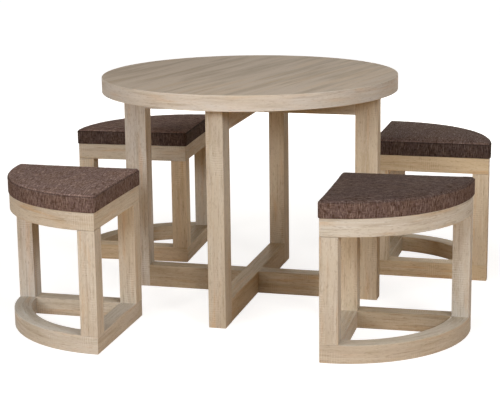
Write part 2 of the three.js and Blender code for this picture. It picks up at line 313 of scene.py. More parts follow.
@dataclass(frozen=True)
class Grain:
    """How the grain lies on a piece, with its turn about the vertical or the arc it follows."""

    run: GrainRun
    turn: float = 0.0
    centre: Triple = (0.0, 0.0, 0.0)
    radius: float = 1.0


@dataclass(frozen=True)
class OakFoil:
    """Light sawn-oak foil wrapped on board: satin, with streaks, pores and faint saw marks.

    The foil is melamine-faced paper, so its IOR is that of melamine resin and it is rougher
    than lacquer; the grain is printed and pressed in at the same time.
    """

    name: str = "light_oak_foil"
    base: str = "#C9BFAE"
    layers: tuple[Mark, ...] = (
        # Soft grey-brown clouds, under a hand wide, as the growth of the tree shows on a plank
        Mark("#A79881", 27 * MM, 300 * MM, 2.0, 0.44, 0.68, 0.45),
        # Pinkish-grey patches where the foil is limed all over
        Mark("#C7BCAE", 32 * MM, 130 * MM, 2.0, 0.44, 0.60, 0.40),
        # Warm honey bands between them
        Mark("#C5A47D", 19 * MM, 210 * MM, 2.0, 0.52, 0.74, 0.42),
        # Pale limed streaks
        Mark("#D7D2C7", 7.5 * MM, 150 * MM, 3.0, 0.50, 0.70, 0.38, 0.02 * MM),
        # Darker late-wood lines
        Mark("#8D775E", 5.5 * MM, 120 * MM, 3.0, 0.54, 0.72, 0.40, -0.05 * MM),
        # Open pores in short rows: really 0.3 mm wide, drawn ten times as wide so that they show
        Mark("#7F664B", 3.2 * MM, 16 * MM, 1.0, 0.56, 0.72, 0.25, -0.08 * MM),
        # Lime left in the pores between them, drawn as coarse
        Mark("#DED9CF", 3.0 * MM, 12 * MM, 1.0, 0.57, 0.72, 0.22, 0.02 * MM),
    )
    contrast: float = 1.15
    # Saw marks are drawn twice as far apart as on the board, so that they show, and in patches
    saw_pitch: float = 7.5 * MM
    saw_patches: Triple = (22.0, 22.0, 9.0)
    saw_patch_edge: tuple[float, float] = (0.52, 0.70)
    saw_breaks: Triple = (70.0, 70.0, 60.0)
    saw_break_gain: float = 2.0
    saw_bend: float = 14.0
    saw_colour: str = "#E0D9CF"
    saw_strength: float = 0.36
    saw_relief: float = 0.05 * MM
    # Corners are paled where hands and brooms have rubbed the print, and as a painted highlight
    # along each arris:
    # not at all where the softened corner still agrees by the first share with the real one, in
    # full by the second
    wear_highlight_colour: str = "#DCD0C1"
    wear_highlight_reach: float = 3.0 * MM
    wear_highlight_agree: tuple[float, float] = (0.99, 0.88)
    wear_highlight_strength: float = 0.80
    wear_highlight_patches: float = 45.0
    roughness: float = 0.56
    # How much rougher the deepest pores are than the highest streaks, and their two heights
    pore_roughness: float = 0.14
    pore_heights: tuple[float, float] = (-0.15 * MM, 0.05 * MM)
    ior: float = 1.5
    specular: float = 0.05

    @staticmethod
    def grain_place(tree: Tree, grain: Grain, shift: Triple) -> Socket:
        """Lays across, depth and length of the grain on the piece.

        Args:
            tree: the material's nodes.
            grain: how the grain lies.
            shift: what part of the pattern this piece was cut from, in metres.

        Returns:
            A vector socket of across, depth and along, in metres.
        """
        place = add_node(tree, "ShaderNodeTexCoord", out="Object")
        if grain.turn:
            place = add_node(
                tree, "ShaderNodeVectorRotate", {"Vector": place, "Angle": grain.turn},
                rotation_type="Z_AXIS",
            )
        if grain.run is GrainRun.ROUND_ARC:
            place = vector_calc(tree, "SUBTRACT", place, grain.centre)
            x, y, z = split(tree, place)
            flat = vector_calc(tree, "MULTIPLY", place, (1.0, 1.0, 0.0))
            angle = calc(tree, "ARCTAN2", x, calc(tree, "MULTIPLY", y, -1.0))
            out = vector_calc(tree, "LENGTH", flat, out="Value")
            parts = [out, z, calc(tree, "MULTIPLY", angle, grain.radius)]
        else:
            axes = split(tree, place)
            parts = [axes[number] for number in grain.run.value]
        laid = add_node(tree, "ShaderNodeCombineXYZ", dict(enumerate(parts)))
        return vector_calc(tree, "ADD", laid, shift)

    def saw(self, surface: Surface, place: Socket) -> None:
        """Lays the faint cross-grain marks of the saw, bent a little and in broken patches.

        Args:
            surface: the foil in the making.
            place: across, depth and along, in metres.
        """
        tree = surface.tree
        wander = noise(tree, vector_calc(tree, "MULTIPLY", place, self.saw_patches), 1.0, 2.0)
        patch = fade(tree, wander, *self.saw_patch_edge, kind="SMOOTHSTEP")
        broken = noise(tree, vector_calc(tree, "MULTIPLY", place, self.saw_breaks), 1.0, 1.0)
        patch = calc(tree, "MULTIPLY", calc(tree, "MULTIPLY", patch, broken), self.saw_break_gain)
        bent = calc(tree, "MULTIPLY", wander, self.saw_bend)
        turns = 2 * math.pi / self.saw_pitch
        phase = calc(tree, "MULTIPLY_ADD", split(tree, place)[2], turns, bent)
        line = fade(tree, calc(tree, "SINE", phase), 0.0, 1.0)
        cut = calc(tree, "MULTIPLY", line, patch)
        surface.tint(calc(tree, "MULTIPLY", cut, self.saw_strength), self.saw_colour)
        surface.lift(cut, self.saw_relief)

    def wear_and_highlight(self, surface: Surface, place: Socket) -> None:
        """Pales the corners in patches, for rubbed print and as a painted highlight along each
        arris, by how far a softened corner turns from the real one.

        Args:
            surface: the foil in the making.
            place: across, depth and along, in metres.
        """
        tree = surface.tree
        softened = add_node(tree, "ShaderNodeBevel", {"Radius": self.wear_highlight_reach}, samples=4)
        facing = add_node(tree, "ShaderNodeNewGeometry", out="Normal")
        agree = vector_calc(tree, "DOT_PRODUCT", softened, facing, out="Value")
        corner = fade(tree, agree, *self.wear_highlight_agree, 0.0, self.wear_highlight_strength)
        patchy_wear_highlight = noise(tree, place, self.wear_highlight_patches, 3.0)
        surface.tint(calc(tree, "MULTIPLY", corner, patchy_wear_highlight), self.wear_highlight_colour)

    def material(
        self, piece: str, grain: Grain, shift: Triple, tone: Triple
    ) -> bpy.types.Material:
        """Makes the finish for one piece.

        Args:
            piece: the piece's name, which ends the material's name.
            grain: how the grain lies on it.
            shift: what part of the pattern the piece was cut from.
            tone: how light this piece is beside the others in red, green and blue, about one,
                partly
            painted light and shade for the light that falls on it.

        Returns:
            The material.
        """
        surface = Surface(f"{self.name}_{piece}", self.base)
        tree = surface.tree
        place = self.grain_place(tree, grain, shift)
        surface.mark(self.layers, Pattern.GRAIN, place, self.contrast)
        self.saw(surface, place)
        # Paled corners: rubbed print together with a painted highlight along each arris
        self.wear_and_highlight(surface, place)
        surface.colour = vector_calc(tree, "MULTIPLY", surface.colour, tone)
        rough = fade(
            tree, surface.height, *self.pore_heights,
            self.roughness + self.pore_roughness, self.roughness,
        )
        return surface.finish({
            "Roughness": rough, "IOR": self.ior, "Specular IOR Level": self.specular,
        })


@dataclass(frozen=True)
class OakTopFoil(OakFoil):
    """The same oak foil as pressed on the table top: greyer, with long soft cathedral streaks."""

    name: str = "light_oak_top"
    base: str = "#C4B5A4"
    layers: tuple[Mark, ...] = (
        # Broad soft shadows of the growth rings, 44 mm wide and longer than a forearm
        Mark("#978772", 44 * MM, 520 * MM, 2.0, 0.44, 0.66, 0.62),
        # Warmer growth between them
        Mark("#CBB395", 30 * MM, 420 * MM, 2.0, 0.50, 0.72, 0.50),
        # Narrow dark lines beside the shadows
        Mark("#8D7A63", 12 * MM, 330 * MM, 3.0, 0.56, 0.74, 0.55, -0.02 * MM),
        # Pale limed streaks
        Mark("#D4CAB8", 7 * MM, 220 * MM, 3.0, 0.52, 0.74, 0.40),
        # Open pores, drawn ten times their width so that they show
        Mark("#7B664F", 3.0 * MM, 30 * MM, 1.0, 0.58, 0.74, 0.30, -0.06 * MM),
    )
    contrast: float = 0.75
    saw_strength: float = 0.08
    roughness: float = 0.66


@dataclass(frozen=True)
class OakEdgeFoil(OakFoil):
    """Oak edging round the top: a little pinker than the members, its grain round the rim."""

    name: str = "light_oak_edging"
    base: str = "#C7C2BC"
    contrast: float = 0.85
    saw_strength: float = 0.12
    wear_highlight_reach: float = 3.2 * MM
    wear_highlight_strength: float = 0.85


@dataclass(frozen=True)
class BirchPlywood(OakFoil):
    """Unfinished birch plywood: pale, faintly flamed and matt."""

    name: str = "birch_plywood"
    base: str = "#CFB48A"
    layers: tuple[Mark, ...] = (
        Mark("#BE9F70", 20 * MM, 260 * MM, 2.0, 0.46, 0.70, 0.45),
        Mark("#DCC7A2", 5 * MM, 160 * MM, 3.0, 0.52, 0.74, 0.40),
        Mark("#A68558", 1.6 * MM, 40 * MM, 1.0, 0.62, 0.76, 0.35, -0.05 * MM),
    )
    saw_strength: float = 0.04
    roughness: float = 0.72


@dataclass(frozen=True)
class WovenFabric:
    """Brown slubbed upholstery cloth: a matt plain weave, pale flecked where threads thicken."""

    name: str = "brown_woven_cloth"
    base: str = "#675653"
    layers: tuple[Mark, ...] = (
        # Patches where the dye took more or less
        Mark("#6F5C54", 60 * MM, 75 * MM, 1.0, 0.42, 0.64, 0.70),
        # Knots of thick thread, as they show on the flat of the seat
        Mark("#7B6A63", 8 * MM, 11 * MM, 1.0, 0.50, 0.70, 0.40, 0.10 * MM),
        Mark("#453329", 9 * MM, 10 * MM, 1.0, 0.50, 0.70, 0.45, -0.10 * MM),
        # Dark hollows between the upright threads, drawn two threads wide so that they show
        Mark("#3A2921", 2.8 * MM, 16 * MM, 1.0, 0.50, 0.66, 0.75, -0.20 * MM),
        # Pale slubs along them
        Mark("#93827C", 2.6 * MM, 20 * MM, 1.0, 0.55, 0.70, 0.70, 0.25 * MM),
        # Fainter slubs the other way
        Mark("#857570", 13 * MM, 2.6 * MM, 1.0, 0.56, 0.74, 0.40, 0.20 * MM),
        Mark("#3F2F27", 11 * MM, 2.6 * MM, 1.0, 0.54, 0.72, 0.42, -0.15 * MM),
    )
    # Painted shadow of the seam's groove: a dark line just below the cushion's upper edge, drawn
    # twice its width
    seam_shadow_colour: str = "#271A14"
    seam_depth: float = 3.2 * MM
    seam_width: float = 2.6 * MM
    seam_core: float = 0.3
    seam_shadow_strength: float = 0.40
    seam_waver: float = 6 * MM
    seam_waver_length: float = 22 * MM
    thread_pitch: float = 1.6 * MM
    weave_relief: float = 0.12 * MM
    roughness: float = 0.95
    ior: float = 1.46
    specular: float = 0.02
    sheen: float = 0.01
    sheen_roughness: float = 0.5

    def seam(self, surface: Surface, threads: Socket, rise: Socket, panel: Socket) -> None:
        """Paints the shadow of the seam's groove as a dark line that wavers along the cushion's
        upper edge.

        Args:
            surface: the cloth in the making.
            threads: where on the cloth the point is.
            rise: how far it is up from the edge.
            panel: one on the top panel, and nothing on the band.
        """
        tree = surface.tree
        waver = noise(tree, threads, 1 / self.seam_waver_length, 1.0)
        middle = self.seam_depth - self.seam_waver / 2
        depth = calc(tree, "MULTIPLY_ADD", waver, self.seam_waver, middle)
        gap = calc(tree, "ABSOLUTE", calc(tree, "ADD", rise, depth))
        line = fade(
            tree, gap, self.seam_width, self.seam_width * self.seam_core,
            0.0, self.seam_shadow_strength, "SMOOTHSTEP",
        )
        band = calc(tree, "SUBTRACT", 1.0, panel)
        # Painted shadow of the seam's groove, on the band only
        surface.tint(calc(tree, "MULTIPLY", line, band), self.seam_shadow_colour)

    def material(self, piece: str, top_painted_light: float, side_painted_light: float) -> bpy.types.Material:
        """Makes the cloth, whose threads follow the attribute that the cushion carries.

        Args:
            piece: the cushion's name, which ends the material's name.
            top_painted_light: painted light and shade on the top panel, how much lighter or darker
                it is drawn on this cushion for the light that falls on it.
            side_painted_light: the same painted light and shade on the upright band.

        Returns:
            The material.
        """
        surface = Surface(f"{self.name}_{piece}", self.base)
        tree = surface.tree
        threads = add_node(tree, "ShaderNodeAttribute", out="Vector", attribute_name=THREADS)
        surface.mark(self.layers, Pattern.CLOTH, threads)
        turns = (2 * math.pi / self.thread_pitch,) * 3
        waves = vector_calc(tree, "SINE", vector_calc(tree, "MULTIPLY", threads, turns))
        across, along, _ = split(tree, waves)
        surface.lift(calc(tree, "MULTIPLY", across, along), self.weave_relief)
        _, rise, panel = split(tree, threads)
        self.seam(surface, threads, rise, panel)
        # Painted light and shade: the top panel and the band are drawn lighter or darker for the
        # light that falls on this cushion
        tone = fade(tree, panel, 0.0, 1.0, side_painted_light, top_painted_light)
        surface.colour = add_node(
            tree, "ShaderNodeVectorMath", {0: surface.colour, "Scale": tone}, operation="SCALE"
        )
        return surface.finish({
            "Roughness": self.roughness, "IOR": self.ior, "Specular IOR Level": self.specular,
            "Sheen Weight": self.sheen, "Sheen Roughness": self.sheen_roughness,
        })


@dataclass(frozen=True)
class ZincPlate:
    """Bright zinc plating on steel: grey metal, a little clouded, with a faint bump from the same
    clouds.
    """

    name: str = "zinc_plated_steel"
    base: str = "#B9BCC0"
    cloud: str = "#A3A8B0"
    cloud_scale: float = 420.0
    relief: float = 0.1 * MM
    relief_strength: float = 0.2
    roughness: tuple[float, float] = (0.26, 0.44)

    def material(self) -> bpy.types.Material:
        """Makes the plating.

        Returns:
            The material.
        """
        surface = Surface(self.name, self.base)
        tree = surface.tree
        place = add_node(tree, "ShaderNodeTexCoord", out="Object")
        clouds = noise(tree, place, self.cloud_scale, 3.0)
        surface.tint(clouds, self.cloud)
        surface.height = clouds
        rough = fade(tree, clouds, 0.0, 1.0, *self.roughness)
        return surface.finish(
            {"Roughness": rough, "Metallic": 1.0}, self.relief_strength, self.relief
        )


class EasedEdges:
    """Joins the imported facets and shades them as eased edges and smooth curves."""

    weld: float = 0.01 * MM
    crisp_angle: float = math.radians(50)

    def __init__(self) -> None:
        """Makes the modifier's nodes once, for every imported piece."""
        tree = bpy.data.node_groups.new("eased_edges", "GeometryNodeTree")
        for way in ("INPUT", "OUTPUT"):
            tree.interface.new_socket("Geometry", in_out=way, socket_type="NodeSocketGeometry")
        shape = add_node(tree, "NodeGroupInput")
        for kind, values in (
            ("GeometryNodeRemoveAttribute", {"Name": "custom_normal"}),
            ("GeometryNodeMergeByDistance", {"Distance": self.weld}),
            ("GeometryNodeSetShadeSmooth", {}),
        ):
            shape = add_node(tree, kind, {"Geometry": shape, **values})
        angle = add_node(tree, "GeometryNodeInputMeshEdgeAngle")
        crisp = add_node(
            tree, "FunctionNodeCompare", {0: angle, 1: self.crisp_angle},
            data_type="FLOAT", operation="GREATER_THAN",
        )
        shape = add_node(
            tree, "GeometryNodeSetShadeSmooth",
            {"Geometry": shape, "Selection": crisp, "Shade Smooth": False}, domain="EDGE",
        )
        feed(tree, tree.nodes.new("NodeGroupOutput"), {0: shape})
        self.tree = tree

    def ease(self, piece: bpy.types.Object) -> None:
        """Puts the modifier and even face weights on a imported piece."""
        piece.modifiers.new("eased_edges", "NODES").node_group = self.tree
        piece.modifiers.new("even_light", "WEIGHTED_NORMAL").keep_sharp = True


class BoardLightTint(Enum):
    """How much red, green and blue a board is drawn with beside the usual one: partly painted light
    and shade, darker and warmer on boards where shade falls and paler on boards that are lit more,
    and partly how the print differs from board to board.
    """

    USUAL = (1.00, 1.00, 1.00)
    BRIGHT = (1.06, 1.06, 1.06)
    LIMED = (1.01, 1.07, 1.17)
    MUCH_LIMED = (1.12, 1.18, 1.31)
    GREYED = (0.98, 1.01, 1.07)
    DULL = (0.92, 0.93, 0.95)
    WARM = (1.02, 0.98, 0.92)
    HONEY = (1.08, 0.99, 0.86)
    AMBER = (0.95, 0.87, 0.74)
    TOBACCO = (0.84, 0.78, 0.69)


# The tint that each board is drawn with, where it is plainly not the usual one: painted light and
# shade, darker and warmer where shade falls on the board and paler where it is lit more, together
# with some real difference in its print
BOARD_LIGHT_TINTS: dict[BoardLightTint, dict[str, str]] = {
    BoardLightTint.BRIGHT: {"front_left_stool": "inner_leg lower_left_rail"},
    BoardLightTint.LIMED: {
        "front_left_stool": "lower_curved_rail",
        "front_right_stool": "right_leg upper_curved_rail",
    },
    BoardLightTint.MUCH_LIMED: {
        "table": "left_post upper_rail_left_to_right upper_rail_front_to_back",
        "front_left_stool": "left_leg",
    },
    BoardLightTint.GREYED: {
        "table": "top_board",
        "front_left_stool": "right_leg lower_right_rail",
        "front_right_stool": "left_leg",
    },
    BoardLightTint.DULL: {
        "table": "front_post",
        "front_left_stool": "upper_curved_rail",
        "front_right_stool": "lower_curved_rail",
        "back_left_stool": "upper_right_rail left_leg",
    },
    BoardLightTint.WARM: {
        "table": "right_post back_post",
        "front_right_stool": "inner_leg",
        "back_right_stool": "left_leg inner_leg",
    },
    BoardLightTint.HONEY: {"back_left_stool": "inner_leg lower_right_rail"},
    BoardLightTint.AMBER: {
        "table": "lower_rail_front_to_back",
        "back_right_stool": "upper_left_rail lower_left_rail lower_curved_rail",
    },
    BoardLightTint.TOBACCO: {
        "table": "lower_rail_left_to_right",
        "front_right_stool": "lower_right_rail",
        "back_right_stool": "lower_right_rail",
        "back_left_stool": "upper_left_rail lower_left_rail lower_curved_rail",
    },
}


@dataclass
class Workshop:
    """What every piece shares: the finishes, the eased edges and the seeded draws."""

    oak: OakFoil = OakFoil()
    top: OakTopFoil = OakTopFoil()
    edging: OakEdgeFoil = OakEdgeFoil()
    plywood: BirchPlywood = BirchPlywood()
    zinc: ZincPlate = ZincPlate()
    cloth: WovenFabric = WovenFabric()
    edges: EasedEdges = field(default_factory=EasedEdges)
    draws: np.random.Generator = field(
        default_factory=lambda: np.random.default_rng(RANDOM_SEED)
    )
    pattern_reach: float = 3.0
    tone_spread: float = 0.03

    def __post_init__(self) -> None:
        """Makes the one finish that is alike on every piece and hands each board its tint of
        painted light and shade.
        """
        self.zinc_material = self.zinc.material()
        self.board_light_tints: dict[str, BoardLightTint] = {
            f"{item}_{board}": roll
            for roll, items in BOARD_LIGHT_TINTS.items()
            for item, boards in items.items() for board in boards.split()
        }

    def dress_wood(self, node: str, foil: OakFoil, grain: Grain) -> None:
        """Gives one packed wooden piece its eased edges and its own cut of a foil.

        Args:
            node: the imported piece's name.
            foil: the finish.
            grain: how the grain lies on it.
        """
        shift = tuple(self.draws.uniform(0.0, self.pattern_reach, 3))
        light = 1.0 + self.tone_spread * self.draws.uniform(-1.0, 1.0)
        # Painted light and shade: the board's own tint, darker and warmer where shade falls on it
        # and paler where it is lit more, with some real difference in its print
        red, green, blue = self.board_light_tints.get(node, BoardLightTint.USUAL).value
        tone = (light * red, light * green, light * blue)
        self.dress(node, foil.material(node, grain, shift, tone))

    def dress(self, node: str, finish: bpy.types.Material) -> None:
        """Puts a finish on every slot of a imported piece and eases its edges.

        Args:
            node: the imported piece's name.
            finish: the material.
        """
        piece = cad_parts[node]
        self.edges.ease(piece)
        for slot in piece.material_slots:
            slot.material = finish
        LOG.info("dressed %s in %s", node, finish.name)


@dataclass
class Table:
    """The round top with its edging, on two closed frames that cross at right angles."""

    band_radius: float = 495 * MM
    top_turn: float = math.radians(14)

    def dress(self, shop: Workshop) -> None:
        """Dresses every piece of the table.

        Args:
            shop: the finishes.
        """
        turned = Grain(GrainRun.ALONG_Y, self.top_turn)
        shop.dress_wood("table_top_board", shop.top, turned)
        rim = Grain(GrainRun.ROUND_ARC, radius=self.band_radius)
        shop.dress_wood("table_edge_band", shop.edging, rim)
        for side in ("back", "left", "front", "right"):
            shop.dress_wood(f"table_{side}_post", shop.oak, Grain(GrainRun.ALONG_Z))
            shop.dress(f"table_top_screw_{side}", shop.zinc_material)
        for level in ("lower", "upper"):
            for way, run in (
                ("front_to_back", GrainRun.ALONG_Y), ("left_to_right", GrainRun.ALONG_X),
            ):
                shop.dress_wood(f"table_{level}_rail_{way}", shop.oak, Grain(run))


@dataclass
class Stool:
    """A quarter-round stool: two mitred rings joined by three legs, under a sewn cushion."""

    name: str
    quarter_turns: int
    askew: float
    # Painted light and shade on the cushion: how much lighter or darker its top panel and its band
    # are drawn, for the light that falls on each stool
    top_painted_light: float
    side_painted_light: float

    @property
    def cushion_node(self) -> str:
        """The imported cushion's name."""
        return f"{self.name}_seat_cushion"

    @property
    def turned(self) -> Matrix:
        """How far the stool stands turned about the vertical."""
        return Matrix.Rotation(self.quarter_turns * math.pi / 2 + self.askew, 4, "Z")

    @property
    def corner(self) -> Vector:
        """Where the stool's square corner stands on the floor.

        Returns:
            The corner.
        """
        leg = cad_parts[f"{self.name}_inner_leg"].data
        back = self.turned.inverted()
        own = [back @ vertex.co for vertex in leg.vertices]
        return self.turned @ Vector((min(p.x for p in own), min(p.y for p in own), 0.0))

    def placing(self, height: float) -> Matrix:
        """Gives the move from the stool's own frame to its place, at a height."""
        return Matrix.Translation(self.corner + Vector((0.0, 0.0, height))) @ self.turned

    def dress(self, shop: Workshop) -> None:
        """Dresses every rigid piece of the stool.

        Args:
            shop: the finishes.
        """
        ways = [Grain(run, -self.askew) for run in (GrainRun.ALONG_X, GrainRun.ALONG_Y)]
        left, right = ways if self.quarter_turns % 2 == 0 else ways[::-1]
        middle = self.placing(0.0) @ Vector((STOOL_ARC_CENTRE, STOOL_ARC_CENTRE, 0.0))
        arc = Grain(
            GrainRun.ROUND_ARC, centre=tuple(middle), radius=STOOL_SIDE - STOOL_ARC_CENTRE
        )
        for level in ("lower", "upper"):
            for rail, grain in (("left", left), ("right", right), ("curved", arc)):
                shop.dress_wood(f"{self.name}_{level}_{rail}_rail", shop.oak, grain)
        for leg in ("inner", "left", "right"):
            shop.dress_wood(f"{self.name}_{leg}_leg", shop.oak, Grain(GrainRun.ALONG_Z))
        shop.dress_wood(f"{self.name}_seat_board", shop.plywood, right)


STOOLS = (
    Stool("front_left_stool", 2, 0.0, 1.62, 1.10),
    Stool("back_left_stool", 1, math.radians(3.0), 1.66, 0.59),
    Stool("back_right_stool", 0, 0.0, 1.14, 0.49),
    Stool("front_right_stool", 3, math.radians(1.4), 0.77, 1.02),
)


@dataclass
class Outline:
    """The points round a cushion, evenly spaced from its square corner on.

    Each has a centre of rounding, an outward direction, and how far it is between two
    corners, from nothing at a corner to one.
    """

    inset: float
    corner_radius: float
    spacing: float
    # How quickly a side draws in behind its corners, and how close the points stand in one
    bay_fullness: float = 0.7
    corner_spacing: float = 0.5
    bases: list[tuple[float, float]] = field(default_factory=list)
    normals: list[tuple[float, float]] = field(default_factory=list)
    bays: list[float] = field(default_factory=list)

    def __post_init__(self) -> None:
        """Lays both straight sides, the arc between them and the three corners."""
        inset = self.inset
        radius = math.hypot(STOOL_SIDE - STOOL_ARC_CENTRE, STOOL_ARC_CENTRE) - inset
        drop = inset - STOOL_ARC_CENTRE
        far = STOOL_ARC_CENTRE + math.sqrt(radius ** 2 - drop ** 2)
        start = math.asin(drop / radius)
        quarter = math.pi / 2
        self.straight((inset, inset), (far, inset), -quarter)
        self.bend((far, inset), -quarter, start)
        self.bend((STOOL_ARC_CENTRE,) * 2, start, quarter - start, radius)
        self.bend((inset, far), quarter - start, 2 * quarter)
        self.straight((inset, far), (inset, inset), 2 * quarter)
        self.bend((inset, inset), 2 * quarter, 3 * quarter)

    def add(self, base: tuple[float, float], facing: float, share: float | None) -> None:
        """Adds one point.

        Args:
            base: its centre of rounding.
            facing: its outward direction, in radians.
            share: how far it is from one corner to the next, or nothing at a corner.
        """
        self.bases.append(base)
        self.normals.append((math.cos(facing), math.sin(facing)))
        bay = 0.0 if share is None else math.sin(math.pi * share) ** self.bay_fullness
        self.bays.append(bay)

    def straight(self, a: tuple[float, float], b: tuple[float, float], facing: float) -> None:
        """Lays one straight side.

        Args:
            a: where it begins.
            b: where it ends.
            facing: its outward direction, in radians.
        """
        count = round(math.dist(a, b) / self.spacing)
        for step in range(count):
            t = step / count
            self.add((a[0] + (b[0] - a[0]) * t, a[1] + (b[1] - a[1]) * t), facing, t)

    def bend(
        self, centre: tuple[float, float], a: float, b: float, radius: float = 0.0
    ) -> None:
        """Lays the curved side, or with no radius one rounded corner, of three points or more.

        Args:
            centre: its centre.
            a: the direction that it begins in, in radians.
            b: the direction that it ends in.
            radius: the curved side's radius.
        """
        reach = radius or self.corner_radius / self.corner_spacing
        count = max(3, round((b - a) * reach / self.spacing))
        for step in range(count):
            t = step / count
            facing = a + (b - a) * t
            base = (centre[0] + radius * math.cos(facing), centre[1] + radius * math.sin(facing))
            self.add(base, facing, t if radius else None)


@dataclass
class SewnCushion:
    """A quarter-round foam pad in a sewn cover: top panel, upright band and a seam between.

    Sizes are in metres in the stool's own frame, its square corner at the origin.
    """

    overhang: float = 5 * MM
    corner_radius: float = 12 * MM
    height: float = 52 * MM
    # The crown that is cut into the top panel, and how far in from the edge it is reached
    crown: float = 1.5 * MM
    crown_reach: float = 60 * MM
    hem_radius: float = 1.5 * MM
    edge_radius: float = 9 * MM
    draw_in: float = 2.2 * MM
    tightness: float = 0.6 * MM
    board_height: float = 12.3 * MM
    board_gap: float = 0.3 * MM
    # How far below the underside the cutter of the board's hollow begins
    cutter_drop: float = 5 * MM
    spacing: float = 8 * MM
    hem_rows: int = 4
    edge_rows: int = 7
    # The swelling: how far and how long, and the cloth's make under the foam's push
    swell_limit: float = 6 * MM
    swell_frames: int = 20
    swell_quality: int = 6
    cloth_mass: float = 0.3
    pressure: float = 0.5
    stretch: float = 40.0
    shear: float = 13.0
    bending: float = 5.0
    # The seam's groove, the rolls beside it, its wandering and the puckers it draws
    groove_depth: float = 1.3 * MM
    groove_width: float = 1.8 * MM
    roll_height: float = 0.5 * MM
    roll_place: float = 6 * MM
    roll_width: float = 4 * MM
    wander: float = 1.2 * MM
    wander_waves: tuple[tuple[int, float], ...] = ((7, 0.5), (13, 0.4), (23, 0.25))
    pucker: float = 0.35 * MM
    pucker_reach: float = 11 * MM
    pucker_waves: tuple[tuple[int, float], ...] = ((31, 0.4), (47, 0.4), (71, 0.3))
    # Shallow dents in the top, left by whoever sat there
    dents: int = 9
    dent_place: tuple[float, float] = (0.03, 0.34)
    dent_depth_mm: float = 0.8
    dent_reach_mm: tuple[float, float] = (40, 90)
    dent_edge: float = 20 * MM

    def __post_init__(self) -> None:
        """Lays the points round the pad once, and measures the cloth that runs round them."""
        outline = Outline(self.corner_radius - self.overhang, self.corner_radius, self.spacing)
        self.bases, self.normals = np.array(outline.bases), np.array(outline.normals)
        self.bays = np.array(outline.bays)
        ring = self.ring(self.corner_radius)
        steps = np.linalg.norm(np.roll(ring, -1, axis=0) - ring, axis=1)
        self.runs = np.concatenate([[0.0], np.cumsum(steps)])

    def ring(self, out: float, pull: float = 0.0) -> np.ndarray:
        """Gives the outline at a distance out from the centres of rounding.

        Args:
            out: that distance in metres.
            pull: how far each side is drawn in between its corners.

        Returns:
            One row of x and y for each point.
        """
        return self.bases + self.normals * (out - pull * self.bays)[:, None]

    def profile(self) -> list[Triple]:
        """Gives the rows of the band, from the hem up over the edge.

        Returns:
            Height, distance out and distance from the seam, in metres.
        """
        full, hem, edge = self.corner_radius, self.hem_radius, self.edge_radius
        rows = [
            (hem * (1 - math.cos(angle)), full - hem * (1 - math.sin(angle)))
            for angle in np.linspace(0.0, math.pi / 2, self.hem_rows)
        ]
        top = self.height - edge
        count = max(2, round((top - hem) / self.spacing))
        rows += [(hem + (top - hem) * step / count, full) for step in range(1, count)]
        rows += [
            (top + edge * math.sin(angle), full - edge * (1 - math.cos(angle)))
            for angle in np.linspace(0.0, math.pi / 2, self.edge_rows)
        ]
        # The seam lies halfway round the upper edge
        seam = len(rows) - 1 - self.edge_rows // 2
        lengths = [0.0]
        for (z0, r0), (z1, r1) in zip(rows, rows[1:]):
            lengths.append(lengths[-1] + math.hypot(z1 - z0, r1 - r0))
        return [(z, r, length - lengths[seam]) for (z, r), length in zip(rows, lengths)]

    @staticmethod
    def panel(ring: np.ndarray, spacing: float) -> tuple[np.ndarray, list[Face]]:
        """Fills an outline with even triangles.

        Args:
            ring: the outline.
            spacing: how far the inner points stand apart.

        Returns:
            The inner points and the faces, numbered ring first and inner points after.
        """
        low, high = ring.min(axis=0), ring.max(axis=0)
        inner = []
        # Points nearer the edge than this would make slivers
        nearest = 0.6 * spacing
        rise = spacing * math.sqrt(3) / 2
        following = np.roll(ring, -1, axis=0)
        edge = following - ring
        slope = np.where(np.abs(edge[:, 1]) < 1e-12, 1e-12, edge[:, 1])
        for row in range(int((high[1] - low[1]) / rise) + 1):
            y = low[1] + rise * row
            offset = spacing / 2 if row % 2 else 0.0
            above = (ring[:, 1] > y) != (following[:, 1] > y)
            cut = ring[:, 0] + edge[:, 0] * (y - ring[:, 1]) / slope
            for x in np.arange(low[0] + offset, high[0], spacing):
                point = np.array((x, y))
                away = point - ring
                t = np.clip((away * edge).sum(1) / (edge ** 2).sum(1), 0.0, 1.0)
                gap = np.linalg.norm(away - edge * t[:, None], axis=1).min()
                if (above & (cut > x)).sum() % 2 and gap > nearest:
                    inner.append(point)
        points = [Vector(p) for p in (*ring, *inner)]
        result = delaunay_2d_cdt(points, [], [list(range(len(ring)))], 1, 1e-7)
        faces = [tuple(result[3][corner][0] for corner in face) for face in result[2]]
        return np.array(inner), faces

